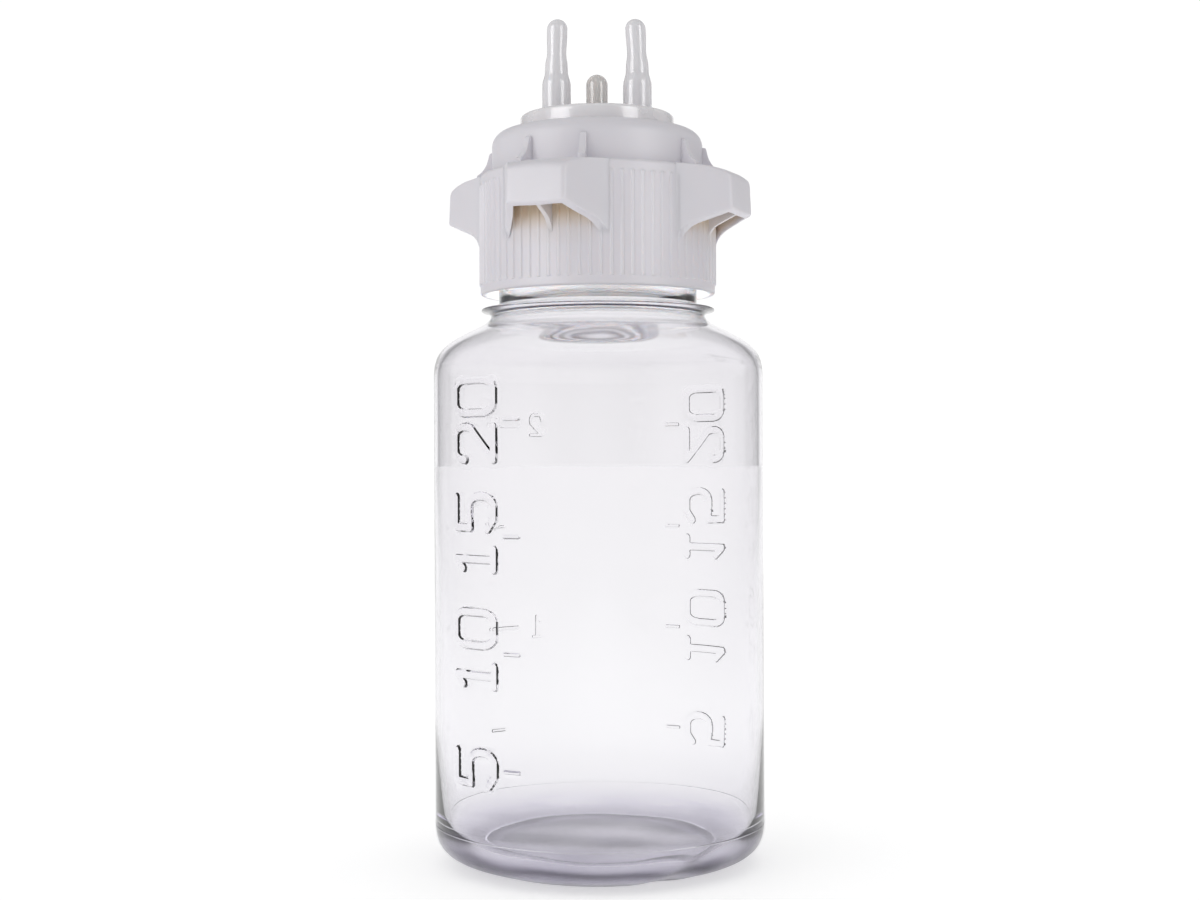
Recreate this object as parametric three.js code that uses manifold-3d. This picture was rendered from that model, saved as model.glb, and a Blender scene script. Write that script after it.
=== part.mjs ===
// Two-litre feeding bottle with a four-lug screw ring and a captive port plate.
// Millimetres, +Z up, origin at the centre of the face that the bottle stands on. The hose stems lie along X.

import * as THREE from 'three';
import { mergeVertices } from 'three/addons/utils/BufferGeometryUtils.js';
import Module from 'manifold-3d';

const wasm = await Module();
wasm.setup();

// ---- driving dimensions ----

const GAP = 0.3; // air left between pieces that touch
const RING_SEGMENTS = 48; // facets round the screw ring
const BODY_SEGMENTS = 48; // facets round the bottle, plate and gasket
const TIP_SEGMENTS = 16; // facets round a stem or its cap
const THREAD_STEPS = 24; // facets in one turn of a thread

const bottle = {
  radius: 63.5,
  wall: 2,
  baseCorner: [[46, 0], [54, 2.8], [63.5, 3.4], [63.5, 16]], // from the ring that it stands on to the wall
  baseRise: 4, // how far the middle of the base stands off the table
  baseThickness: 3.5,
  standInner: 42, // inner radius of the flat ring that it stands on
  shoulderStart: 186,
  waistRadius: 41.2,
  waistHeight: 209.6,
  neckRadius: 38.2,
  neckBore: 35.4,
  lipHeight: 272.6,
};

const supportRing = { radius: 45, underside: 210.8, top: 213.4, lip: 1.2 };

const thread = {
  pitch: 6,
  turns: 1.75,
  neckStart: 230,
  neckCrest: 41,
  capCrest: 39.2,
  rootWidth: 3,
  crestWidth: 1.4,
  leadIn: 0.12, // share of the length over which each end fades into the wall
};

const ring = {
  rim: 218.2,
  skirtRadius: 45.3,
  skirtBore: 43,
  deck: 264.1,
  deckUnderside: 261.2,
  crownRadius: 40.7,
  crownBore: 38.6,
  crownTop: 280.9,
  crownUnderside: 278.3,
  crownEdge: 5.8,
  opening: 30.2,
  beadRadius: 37.4,
  beadHeight: 274,
};

const ribs = { count: 72, width: 1, reach: 45.8, bottom: 221.6, top: 260.3, phaseDeg: -1 };

const lugs = {
  count: 4,
  turnDeg: -22.5,
  reach: 58.5,
  halfWidth: 11.4,
  tangentDeg: 28, // where the flared side wall meets the skirt, from the lug's middle
  flareDeg: 25,
  wall: 2,
  roof: 2.2,
  ribWidth: 2,
  top: 264.1,
  outerTop: 259.8,
  lipBottom: 246.4,
  skirtBottom: 236.8,
};

const fins = { turnDeg: 15.5, thickness: 2.5, top: 274.3, topReach: 42.3, footReach: 47.2, footTop: 265.4 };

const plate = {
  flangeRadius: 37.9,
  flangeBottom: 275.2,
  flangeTop: 277.9,
  bossRadius: 29.8,
  bossTop: 287.3,
  bossEdge: 1.4,
  bossWall: 2.5,
};

const gasket = { outer: 37, inner: 33.6, bottom: 272.9, top: 274.9 };

const hosePort = {
  offset: 15.65,
  base: 5.65,
  baseTop: 300,
  shoulder: 4.8,
  shoulderTop: 304.3,
  waist: 3.9,
  waistHeight: 312.1,
  tip: 4,
  capTop: 325.3,
  capWall: 1.2,
  stemTop: 318,
  boreRadius: 1.3,
};

const ventPort = { radius: 4.2, capTop: 303.8, capWall: 1.3, stemTop: 298, boreRadius: 1.2 };

const marks = {
  depth: 0.5,
  height: 1.2,
  width: 8, // of a whole litre's bar; a half litre's is half as wide
  litre: 84.2, // height that one litre fills
  twoLitres: 169.3,
  step: 0.5,
  azimuthDeg: 128,
};

// ---- helpers ----

const radians = THREE.MathUtils.degToRad;

/** A closed three.js geometry as a manifold solid, turned right side out. */
function solid(geometry) {
  const bare = geometry.clone();
  bare.deleteAttribute('normal');
  bare.deleteAttribute('uv');
  const merged = mergeVertices(bare, 1e-4);
  const triangles = [];
  for (let i = 0; i < merged.index.count; i += 3) {
    const [a, b, c] = [0, 1, 2].map((corner) => merged.index.getX(i + corner));
    if (a !== b && b !== c && c !== a) triangles.push(a, b, c);
  }
  const vertProperties = new Float32Array(merged.attributes.position.array);
  const make = (triVerts) =>
    new wasm.Manifold(new wasm.Mesh({ numProp: 3, vertProperties, triVerts: new Uint32Array(triVerts) }));
  const body = make(triangles);
  return body.volume() > 0 ? body : make(triangles.reverse());
}

/** The three.js geometry of a manifold solid. */
function geometryOf(body) {
  const mesh = body.getMesh();
  const geometry = new THREE.BufferGeometry();
  const positions = new Float32Array(mesh.numVert * 3);
  for (let i = 0; i < mesh.numVert; i += 1) {
    for (let k = 0; k < 3; k += 1) positions[3 * i + k] = mesh.vertProperties[mesh.numProp * i + k];
  }
  geometry.setAttribute('position', new THREE.BufferAttribute(positions, 3));
  geometry.setIndex(new THREE.BufferAttribute(new Uint32Array(mesh.triVerts), 1));
  geometry.computeVertexNormals();
  return geometry;
}

/** Turns a profile of [radius, height] points about the Z axis. */
function turned(profile, segments = BODY_SEGMENTS) {
  const points = profile.map(([radius, height]) => new THREE.Vector2(radius, height));
  return solid(new THREE.LatheGeometry(points, segments).rotateX(Math.PI / 2));
}

/** A turned ring: the profile closes on itself instead of on the axis. */
function turnedRing(profile, segments = BODY_SEGMENTS) {
  return turned([...profile, profile[0]], segments);
}

/** Points on an arc of a profile, from one angle to another, both in degrees. */
function arc(radius, height, size, fromDeg, toDeg, steps) {
  return Array.from({ length: steps + 1 }, (_, i) => {
    const angle = radians(THREE.MathUtils.lerp(fromDeg, toDeg, i / steps));
    return [radius + size * Math.cos(angle), height + size * Math.sin(angle)];
  });
}

/** Points on a Bezier curve with three or four control points. */
function bezier(controls, steps) {
  const vectors = controls.map(([x, y]) => new THREE.Vector2(x, y));
  const Curve = vectors.length === 3 ? THREE.QuadraticBezierCurve : THREE.CubicBezierCurve;
  return new Curve(...vectors).getPoints(steps).map(({ x, y }) => [x, y]);
}

/** Extrudes an outline of [x, y] points from one height to another. */
function prism(outline, bottom, top) {
  const shape = new THREE.Shape(outline.map(([x, y]) => new THREE.Vector2(x, y)));
  const geometry = new THREE.ExtrudeGeometry(shape, { depth: top - bottom, bevelEnabled: false });
  return solid(geometry.translate(0, 0, bottom));
}

/** Extrudes a profile of [radius, height] points sideways, centred on the given tangential offset. */
function slab(profile, thickness, offset) {
  const shape = new THREE.Shape(profile.map(([radius, height]) => new THREE.Vector2(radius, height)));
  const geometry = new THREE.ExtrudeGeometry(shape, { depth: thickness, bevelEnabled: false });
  return solid(geometry.rotateX(Math.PI / 2).translate(0, offset + thickness / 2, 0));
}

/** A box lying radially at angle zero. */
function radialBox(inner, outer, width, bottom, top) {
  const geometry = new THREE.BoxGeometry(outer - inner, width, top - bottom);
  return solid(geometry.translate((inner + outer) / 2, 0, (bottom + top) / 2));
}

/** Copies of a solid, evenly spaced about the Z axis. */
function polar(body, count, phaseDeg = 0) {
  return Array.from({ length: count }, (_, i) => body.rotate([0, 0, phaseDeg + (360 * i) / count]));
}

/** A helical thread ridge: a bar of trapezoid section, wound up the wall, with both ends fading into it. */
function threadRidge(wallRadius, crestRadius, start) {
  const bite = Math.sign(wallRadius - crestRadius) * 0.6;
  const reach = crestRadius - wallRadius;
  const section = new THREE.Shape([
    new THREE.Vector2(bite, -thread.rootWidth / 2),
    new THREE.Vector2(0, -thread.rootWidth / 2),
    new THREE.Vector2(reach, -thread.crestWidth / 2),
    new THREE.Vector2(reach, thread.crestWidth / 2),
    new THREE.Vector2(0, thread.rootWidth / 2),
    new THREE.Vector2(bite, thread.rootWidth / 2),
  ]);
  const steps = Math.round(thread.turns * THREAD_STEPS);
  const geometry = new THREE.ExtrudeGeometry(section, { depth: 1, steps, bevelEnabled: false });
  const position = geometry.attributes.position;
  for (let i = 0; i < position.count; i += 1) {
    const along = position.getZ(i);
    const fade = THREE.MathUtils.clamp(Math.min(along, 1 - along) / thread.leadIn, 0.1, 1);
    const outward = position.getX(i);
    const radius = wallRadius + (outward * reach > 0 ? outward * fade : outward);
    const angle = 2 * Math.PI * thread.turns * along;
    const height = start + thread.pitch * thread.turns * along + position.getY(i);
    position.setXYZ(i, radius * Math.cos(angle), radius * Math.sin(angle), height);
  }
  return solid(geometry);
}

const meshes = [];

/** Names a solid and gives it its material. */
function addPiece(name, body, colour, roughness, opacity = 1) {
  const material = new THREE.MeshStandardMaterial({ color: colour, roughness, metalness: 0 });
  material.opacity = opacity;
  material.transparent = opacity < 1;
  const mesh = new THREE.Mesh(geometryOf(body), material);
  mesh.name = name;
  meshes.push(mesh);
}

// ---- bottle ----

function bottleBody() {
  const b = bottle;
  const inner = b.radius - b.wall;
  const innerCorner = [[inner, 17], [inner, 7.5], [53.5, 6.4], [45, 5.6]];
  const outside = [
    [0, b.baseRise],
    [20, b.baseRise - 0.4],
    [36, 1.8],
    [b.standInner, 0],
    ...bezier(b.baseCorner, 6),
    ...bezier([[b.radius, b.shoulderStart], [b.radius, 195], [61.5, 198.6], [46, 205.7]], 7),
    ...bezier([[46, 205.7], [42.6, 207.2], [b.waistRadius, b.waistHeight]], 3).slice(1),
    [supportRing.radius - 0.3, supportRing.underside],
    [supportRing.radius, supportRing.underside + supportRing.lip],
    [supportRing.radius - 0.3, supportRing.underside + supportRing.lip + 0.5],
    [b.neckRadius + 0.6, supportRing.top + 0.8],
    [b.neckRadius, supportRing.top + 2],
    [b.neckRadius, b.lipHeight - 0.6],
    [b.neckRadius - 0.6, b.lipHeight],
  ];
  const inside = [
    [b.neckBore + 0.6, b.lipHeight],
    [b.neckBore, b.lipHeight - 0.6],
    [b.neckBore, 214],
    ...bezier([[b.neckBore, 211], [b.neckBore + 0.6, 207.6], [43.8, 203.4]], 3),
    ...bezier([[43.8, 203.4], [60, 196.6], [inner, 194], [inner, b.shoulderStart]], 5).slice(1),
    ...bezier(innerCorner, 5),
    [36, b.baseThickness + 1.8],
    [0, b.baseThickness + b.baseRise],
  ];
  return turned([...outside, ...inside]);
}

/** Litre marks: one bar for each half litre, the whole litres longer. */
function litreMarks() {
  const bars = [];
  for (let litres = marks.step; litres <= 2; litres += marks.step) {
    const height = marks.twoLitres - (2 - litres) * marks.litre;
    const width = Number.isInteger(litres) ? marks.width : marks.width / 2;
    const bar = radialBox(
      bottle.radius - 1,
      bottle.radius + marks.depth,
      width,
      height - marks.height / 2,
      height + marks.height / 2,
    );
    bars.push(bar.rotate([0, 0, marks.azimuthDeg]));
  }
  return bars;
}

function bottleSolid() {
  const neckThread = threadRidge(bottle.neckRadius, thread.neckCrest, thread.neckStart);
  return wasm.Manifold.union([bottleBody(), neckThread, ...litreMarks()]);
}

// ---- screw ring ----

function ringShell() {
  const r = ring;
  return turnedRing([
    [r.skirtBore + 0.6, r.rim],
    [r.skirtRadius - 0.6, r.rim],
    [r.skirtRadius, r.rim + 0.8],
    [r.skirtRadius, r.deck - 1.2],
    [r.skirtRadius - 1.2, r.deck],
    [r.crownRadius, r.deck],
    ...arc(r.crownRadius - r.crownEdge, r.crownTop - r.crownEdge, r.crownEdge, 0, 90, 4),
    [r.opening, r.crownTop],
    [r.opening, r.crownUnderside],
    [r.crownBore - 2.2, r.crownUnderside],
    [r.crownBore, r.crownUnderside - 2.7],
    [r.crownBore, r.beadHeight + 0.9],
    [r.beadRadius, r.beadHeight + 0.3],
    [r.beadRadius, r.beadHeight - 0.3],
    [r.crownBore, r.beadHeight - 0.9],
    [r.crownBore, r.deckUnderside],
    [r.skirtBore - 1, r.deckUnderside],
    [r.skirtBore, r.deckUnderside - 1],
    [r.skirtBore, r.rim + 0.6],
  ], RING_SEGMENTS);
}

/** The plan of one lug: flat outer face and side walls that flare into the skirt. */
function lugPlan(reach, halfWidth, tangentDeg) {
  const base = ring.skirtRadius;
  const angle = radians(tangentDeg);
  const flare = radians(lugs.flareDeg);
  const tangent = [base * Math.cos(angle), base * Math.sin(angle)];
  // Where the skirt's tangent line crosses the side wall's own line.
  const [dx, dy] = [reach - tangent[0], halfWidth - tangent[1]];
  const along = (dx * Math.cos(angle) + dy * Math.sin(angle)) / Math.cos(flare + angle);
  const corner = [reach - along * Math.cos(flare), halfWidth + along * Math.sin(flare)];
  const side = bezier([[reach, halfWidth], corner, tangent], 6);
  const root = [ring.skirtBore + 1, 0];
  const mirrored = side.map(([x, y]) => [x, -y]);
  return [root, ...mirrored.reverse(), ...side];
}

/** The turned envelope that gives lugs their sloping top and swept lower edge. */
function lugEnvelope() {
  const base = ring.skirtRadius;
  return turnedRing([
    [base - 1.5, lugs.skirtBottom],
    [base, lugs.skirtBottom],
    ...bezier([[base, lugs.skirtBottom], [base + 0.6, 240.6], [49, 242.4]], 3).slice(1),
    [57, lugs.lipBottom],
    [lugs.reach + 0.2, lugs.lipBottom + 1.4],
    [lugs.reach + 3, lugs.lipBottom + 2.4],
    [lugs.reach + 3, lugs.outerTop - 1],
    [lugs.reach - 0.4, lugs.outerTop],
    [55.7, 262],
    [52, 263.3],
    [base + 1, lugs.top],
    [base - 1.5, lugs.top],
  ], RING_SEGMENTS);
}

/** The space under a lug's roof, open below. */
function lugHollow() {
  const base = ring.skirtRadius;
  return turnedRing([
    [base, 225],
    [lugs.reach + 4, 225],
    [lugs.reach + 4, lugs.outerTop - lugs.roof - 1],
    [55.2, 262 - lugs.roof],
    [52, 263.3 - lugs.roof],
    [base, lugs.top - lugs.roof],
  ], RING_SEGMENTS);
}

function lugSolids() {
  const outer = prism(lugPlan(lugs.reach, lugs.halfWidth, lugs.tangentDeg), 225, 270);
  const innerPlan = lugPlan(lugs.reach - lugs.wall, lugs.halfWidth - lugs.wall, lugs.tangentDeg - 4.5);
  const inner = prism(innerPlan, 220, 275);
  const web = radialBox(ring.skirtRadius - 1, lugs.reach - 1, lugs.ribWidth, 225, 262);
  const envelope = lugEnvelope();
  const shell = outer.intersect(envelope).subtract(inner.intersect(lugHollow()));
  return polar(shell.add(web.intersect(envelope)), lugs.count);
}

/** Gusset fins: two above each lug's roots, each standing straight out from the axis. */
function finSolids() {
  const profile = [
    [ring.crownBore - 1.2, ring.deck - 1],
    [fins.footReach, ring.deck - 1],
    [fins.footReach, fins.footTop],
    ...bezier([[fins.footReach, fins.footTop], [43.2, 267.4], [fins.topReach, fins.top]], 4).slice(1),
    [ring.crownBore - 1.2, fins.top],
  ];
  const pair = [-1, 1].map((side) => slab(profile, fins.thickness, 0).rotate([0, 0, side * fins.turnDeg]));
  return polar(wasm.Manifold.union(pair), lugs.count);
}

function ringSolid() {
  const rib = radialBox(ring.skirtRadius - 0.8, ribs.reach, ribs.width, ribs.bottom, ribs.top);
  const crown = turnedRing([
    [ring.crownBore, ring.deckUnderside],
    [ring.crownBore, 275],
    [20, 275],
    [20, ring.deckUnderside],
  ], RING_SEGMENTS);
  const outside = wasm.Manifold.union([
    ringShell(),
    ...polar(rib, ribs.count, ribs.phaseDeg),
    ...lugSolids(),
    ...finSolids().map((fin) => fin.subtract(crown)),
    threadRidge(ring.skirtBore, thread.capCrest, thread.neckStart - thread.pitch / 2),
  ]);
  return outside.rotate([0, 0, lugs.turnDeg]);
}

// ---- port plate, gasket and caps ----

/** Outer profile of a hose cap, from the plate up to the closed tip. */
function hoseProfile(inset, bottom, top) {
  const h = hosePort;
  const tip = h.tip - inset;
  return [
    [h.base - inset, bottom],
    [h.base - inset, h.baseTop],
    [h.shoulder - inset, h.shoulderTop],
    [h.shoulder - 0.35 - inset, 307.4],
    [h.waist - inset, h.waistHeight],
    ...arc(0, top - tip, tip, 0, 90, 5),
  ];
}

function hoseCap() {
  const h = hosePort;
  const bottom = plate.bossTop + GAP;
  const outside = hoseProfile(0, bottom, h.capTop);
  const inside = hoseProfile(h.capWall, bottom, h.capTop - h.capWall);
  return turned([...inside.reverse(), ...outside], TIP_SEGMENTS);
}

function hoseStem() {
  const inset = hosePort.capWall + GAP;
  const profile = hoseProfile(inset, plate.bossTop - 1, hosePort.stemTop);
  return turned([[0, plate.bossTop - 1], ...profile], TIP_SEGMENTS);
}

function ventProfile(radius, bottom, top) {
  return [[radius, bottom], ...arc(0, top - radius, radius, 0, 90, 5)];
}

function ventCap() {
  const v = ventPort;
  const bottom = plate.bossTop + GAP;
  const inside = ventProfile(v.radius - v.capWall, bottom, v.capTop - v.capWall);
  return turned([...inside.reverse(), ...ventProfile(v.radius, bottom, v.capTop)], TIP_SEGMENTS);
}

function ventStem() {
  const radius = ventPort.radius - ventPort.capWall - GAP;
  const bottom = plate.bossTop - 1;
  return turned([[0, bottom], ...ventProfile(radius, bottom, ventPort.stemTop)], TIP_SEGMENTS);
}

function bore(radius, x) {
  const length = 60;
  const geometry = new THREE.CylinderGeometry(radius, radius, length, 16).rotateX(Math.PI / 2);
  return solid(geometry.translate(x, 0, plate.flangeBottom + length / 2));
}

function plateSolid() {
  const p = plate;
  const inner = p.bossRadius - p.bossWall;
  const disc = turned([
    [0, p.bossTop - p.bossWall],
    [inner, p.bossTop - p.bossWall],
    [inner, p.flangeBottom],
    [p.flangeRadius, p.flangeBottom],
    [p.flangeRadius, p.flangeBottom + 0.7],
    [p.flangeRadius - 1.9, p.flangeTop],
    [p.bossRadius, p.flangeTop],
    ...arc(p.bossRadius - p.bossEdge, p.bossTop - p.bossEdge, p.bossEdge, 0, 90, 3),
    [0, p.bossTop],
  ]);
  const sides = [-hosePort.offset, hosePort.offset];
  const stems = sides.map((x) => hoseStem().translate([x, 0, 0]));
  const bores = sides.map((x) => bore(hosePort.boreRadius, x));
  return wasm.Manifold.union([disc, ...stems, ventStem()])
    .subtract(wasm.Manifold.union([...bores, bore(ventPort.boreRadius, 0)]));
}

function gasketSolid() {
  const g = gasket;
  return turnedRing([
    [g.inner, g.bottom],
    [g.outer, g.bottom],
    [g.outer, g.top],
    [g.inner, g.top],
  ]);
}

// ---- assembly ----

addPiece('bottle', bottleSolid(), 0xdedce8, 0.05, 0.3);
addPiece('screw_cap', ringSolid(), 0xd4d2d8, 0.5);
addPiece('port_plate', plateSolid(), 0xcdcbd3, 0.4, 0.9);
addPiece('mouth_gasket', gasketSolid(), 0xe6e2da, 0.7);
addPiece('hose_cap_left', hoseCap().translate([-hosePort.offset, 0, 0]), 0xd0ced6, 0.4, 0.9);
addPiece('hose_cap_right', hoseCap().translate([hosePort.offset, 0, 0]), 0xd0ced6, 0.4, 0.9);
addPiece('vent_cap', ventCap(), 0xb9aea4, 0.25, 0.7);

const group = new THREE.Group();
group.add(...meshes);

export default group;
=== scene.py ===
"""A clear two-litre feeding bottle with a lugged screw ring and a captive port plate, in a pale studio."""

import math

import bmesh
import bpy
import numpy as np
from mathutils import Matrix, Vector, geometry


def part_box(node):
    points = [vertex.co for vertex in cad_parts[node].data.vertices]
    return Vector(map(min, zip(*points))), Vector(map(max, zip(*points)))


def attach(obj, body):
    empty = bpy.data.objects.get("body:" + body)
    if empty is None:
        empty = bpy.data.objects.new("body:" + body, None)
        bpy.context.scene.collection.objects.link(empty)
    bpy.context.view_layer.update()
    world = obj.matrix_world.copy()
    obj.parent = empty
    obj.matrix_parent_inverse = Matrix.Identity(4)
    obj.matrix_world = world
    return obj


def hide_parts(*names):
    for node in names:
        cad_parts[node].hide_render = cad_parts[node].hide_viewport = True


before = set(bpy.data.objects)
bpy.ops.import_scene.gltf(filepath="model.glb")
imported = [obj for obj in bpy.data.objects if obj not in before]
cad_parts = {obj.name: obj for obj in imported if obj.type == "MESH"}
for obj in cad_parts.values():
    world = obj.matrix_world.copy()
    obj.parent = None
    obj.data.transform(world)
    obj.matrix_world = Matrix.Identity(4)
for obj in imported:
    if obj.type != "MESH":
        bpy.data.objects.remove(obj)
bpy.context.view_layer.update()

MM = 0.001

# ---- sizes, in millimetres, from the frame and a few driving dimensions ----

BOTTLE_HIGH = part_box("bottle")[1] / MM
CAP_LOW, CAP_HIGH = (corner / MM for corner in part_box("screw_cap"))
PLATE_LOW, PLATE_HIGH = (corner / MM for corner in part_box("port_plate"))
GASKET_LOW, GASKET_HIGH = (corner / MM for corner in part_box("mouth_gasket"))
HOSE_LOW, HOSE_HIGH = (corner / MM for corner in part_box("hose_cap_right"))
VENT_LOW, VENT_HIGH = (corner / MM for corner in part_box("vent_cap"))

BODY_RADIUS = BOTTLE_HIGH.x
LIP = BOTTLE_HIGH.z
WALL = 2.0
NECK_RADIUS = 38.2
NECK_BORE = 35.4
RING_RADIUS = 45.0
BASE_SEAM = 15.9  # heights of the two fine lines that the mould leaves
SHOULDER_SEAM = 190.6
SEAM_SIZE = 0.13
WALL_BOTTOM = 20.0  # the straight part of the wall, which carries the marks
WALL_TOP = 184.0
MARK_RISE = 0.75
FAR_MARKS = 0.5  # the marks on the far side stand off less

PITCH = 6.0
THREAD_TURNS = 1.75
THREAD_START = 230.0
THREAD_DEPTH = 2.8
RING_THREAD_DEPTH = 3.7

SKIRT_RADIUS = 45.3
SKIRT_BORE = 43.0
RIM = CAP_LOW.z
DECK = 264.1
CROWN_TOP = CAP_HIGH.z
CROWN_RADIUS = 40.7
CROWN_BORE = 38.6
OPENING = 30.2
LUG_TURN = math.radians(-22.5)
LUG_REACH = 58.5
LUG_HALF_WIDTH = 11.4
LUG_WALL = 2.0
LUG_ROOF = 2.2
LUG_START = 44.0  # a lug's shell starts inside the skirt's wall, and its hollow a little further out
HOLLOW_START = 44.4
LUG_ROOT = 28.0  # degrees from a lug's middle to where its side meets the skirt, outside and inside
LUG_ROOT_INSIDE = 24.0
RIB_COUNT = 72
RIB_PHASE = math.radians(-1)
RIB_FOOT = 221.5
RIB_TOP = 260.5
RIB_RISE = 0.5
RIB_HALF_WIDTH = 0.78
RIB_FLANK = 0.42  # how much of the half width slopes
FIN_TURN = math.radians(15.5)
FIN_THICKNESS = 2.5
WEB_THICKNESS = 1.8

BOSS_RADIUS = 29.8
BOSS_TOP = 287.3

# ---- light ----

TENT_LIGHT = 0.76  # radiance of the tent round the object: its sides, roof and front
TENT_ROOF = 0.74
TENT_FRONT = 0.52
TENT_RIGHT = 0.28  # how much darker the tent is at the front on the right
BACKDROP_LIGHT = 1.03  # the lit wall behind, and its darker rim
BACKDROP_RIM = 0.39
HORIZON_LIGHT = 0.05  # added just above the floor
FLOOR_GLOW = 0.47
LIGHT_LEFT = 0.6  # watts
LIGHT_RIGHT = 0.05
LID_FILL = 0.1
LID_GLEAM = 4.0  # radiance of the two streaks in the lid's gloss
LIGHT_BOUNCES = 28  # thick clear walls go black with fewer


# ---- outlines ----

def arc(radius, height, size, start, end, steps):
    """Points on an arc of a profile, angles in degrees."""
    angles = np.radians(np.linspace(start, end, steps + 1))
    return [(radius + size * math.cos(a), height + size * math.sin(a)) for a in angles]


def bezier(controls, steps):
    """Points on the Bezier curve of any number of control points."""
    points = []
    for t in np.linspace(0, 1, steps + 1):
        row = np.array(controls, float)
        while len(row) > 1:
            row = row[:-1] * (1 - t) + row[1:] * t
        points.append(tuple(row[0]))
    return points


def line(start, end, steps):
    """Evenly spaced points from start to end, both included."""
    return [tuple(p) for p in np.linspace(start, end, steps + 1)]


def smoothstep(value):
    """0 below 0, 1 above 1, and smooth between."""
    t = np.clip(value, 0, 1)
    return t * t * (3 - 2 * t)


# ---- meshes ----

def mesh_object(name, vertices, faces, materials, sharp=35):
    """A smooth mesh object from vertices in millimetres."""
    mesh = bpy.data.meshes.new(name)
    mesh.from_pydata((np.asarray(vertices, float) * MM).tolist(), [], faces)
    mesh.validate()
    for material in materials:
        mesh.materials.append(material)
    mesh.shade_smooth()
    mesh.set_sharp_from_angle(angle=math.radians(sharp))
    obj = bpy.data.objects.new(name, mesh)
    bpy.context.scene.collection.objects.link(obj)
    return obj


def face_outward(obj):
    """Turns every face of a closed mesh to point out."""
    bm = bmesh.new()
    bm.from_mesh(obj.data)
    bmesh.ops.recalc_face_normals(bm, faces=bm.faces)
    bm.to_mesh(obj.data)
    bm.free()


def join_parts(parts):
    """One vertex and face list from several."""
    vertices, faces = [], []
    for part_vertices, part_faces in parts:
        start = len(vertices)
        vertices.extend(map(tuple, part_vertices))
        faces.extend(tuple(start + i for i in face) for face in part_faces)
    return vertices, faces


def revolve(profile, angles, close=False, shape=None):
    """Turns (radius, height) points about Z. shape(radius, height, angles) may change the radius.

    Points on the axis become one vertex. close joins the last point to the first."""
    vertices, rows = [], []
    angles = np.asarray(angles)
    for radius, height in profile:
        if radius < 1e-6:
            rows.append([len(vertices)])
            vertices.append((0.0, 0.0, height))
            continue
        radii = np.full(len(angles), float(radius))
        if shape is not None:
            radii = shape(radii, height, angles)
        rows.append(list(range(len(vertices), len(vertices) + len(angles))))
        vertices.extend(zip(radii * np.cos(angles), radii * np.sin(angles), [height] * len(angles)))
    faces = []
    pairs = list(zip(rows, rows[1:])) + ([(rows[-1], rows[0])] if close else [])
    count = len(angles)
    for lower, upper in pairs:
        for i in range(count):
            j = (i + 1) % count
            if len(lower) == 1:
                faces.append((lower[0], upper[j], upper[i]))
            elif len(upper) == 1:
                faces.append((lower[i], lower[j], upper[0]))
            else:
                faces.append((lower[i], lower[j], upper[j], upper[i]))
    return vertices, faces


def even_angles(count, start=0.0):
    """Angles that divide the full turn evenly."""
    return start + np.arange(count) * 2 * math.pi / count


def full_turn(x, y, z, angle):
    """Points turned about Z."""
    return x * np.cos(angle) - y * np.sin(angle), x * np.sin(angle) + y * np.cos(angle), z


# ---- materials ----

class Nodes:
    """A material's node tree, with short ways to add and join nodes."""

    def __init__(self, name):
        self.material = bpy.data.materials.new(name)
        self.material.use_nodes = True
        self.tree = self.material.node_tree
        self.shader = self.tree.nodes["Principled BSDF"]
        self.output = self.tree.nodes["Material Output"]

    def add(self, kind, **settings):
        """A new node of that kind."""
        node = self.tree.nodes.new(kind)
        for key, value in settings.items():
            setattr(node, key, value)
        return node

    def join(self, source, target):
        """Links an output socket to an input."""
        self.tree.links.new(source, target)

    def set(self, **values):
        """Sets the shader's own sockets: spaces in a name are written as underscores."""
        for key, value in values.items():
            self.shader.inputs[key.replace("_", " ")].default_value = value

    def noise(self, scale, detail=3.0, roughness=0.5, stretch=(1, 1, 1)):
        """Noise over the object's own metres."""
        mapping = self.add("ShaderNodeMapping")
        mapping.inputs["Scale"].default_value = stretch
        coordinates = self.add("ShaderNodeTexCoord").outputs["Object"]
        self.join(coordinates, mapping.inputs["Vector"])
        node = self.add("ShaderNodeTexNoise")
        node.inputs["Scale"].default_value = scale
        node.inputs["Detail"].default_value = detail
        node.inputs["Roughness"].default_value = roughness
        self.join(mapping.outputs["Vector"], node.inputs["Vector"])
        return node.outputs["Fac"]

    def ramp(self, source, stops):
        """A colour ramp from (position, colour) stops."""
        node = self.add("ShaderNodeValToRGB")
        elements = node.color_ramp.elements
        while len(elements) < len(stops):
            elements.new(0.5)
        for element, (position, colour) in zip(elements, stops):
            element.position = position
            element.color = (*colour, 1)
        self.join(source, node.inputs["Fac"])
        return node.outputs["Color"]

    def range(self, source, low, high, target):
        """Feeds a value socket with the source, mapped from 0..1 to low..high."""
        node = self.add("ShaderNodeMapRange")
        node.inputs["To Min"].default_value = low
        node.inputs["To Max"].default_value = high
        self.join(source, node.inputs["Value"])
        self.join(node.outputs["Result"], target)

    def mix(self, factor, first, second):
        """Mixes two colours, each a socket or a plain colour."""
        node = self.add("ShaderNodeMix", data_type="RGBA")
        self.join(factor, node.inputs["Factor"])
        for value, socket in ((first, node.inputs[6]), (second, node.inputs[7])):
            if isinstance(value, tuple):
                socket.default_value = (*value, 1)
            else:
                self.join(value, socket)
        return node.outputs[2]

    def bump(self, source, distance, strength=0.5, after=None):
        """Adds a bump of that height in metres, on top of an earlier one."""
        node = self.add("ShaderNodeBump")
        node.inputs["Strength"].default_value = strength
        node.inputs["Distance"].default_value = distance
        self.join(source, node.inputs["Height"])
        if after is not None:
            self.join(after, node.inputs["Normal"])
        return node.outputs["Normal"]


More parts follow.
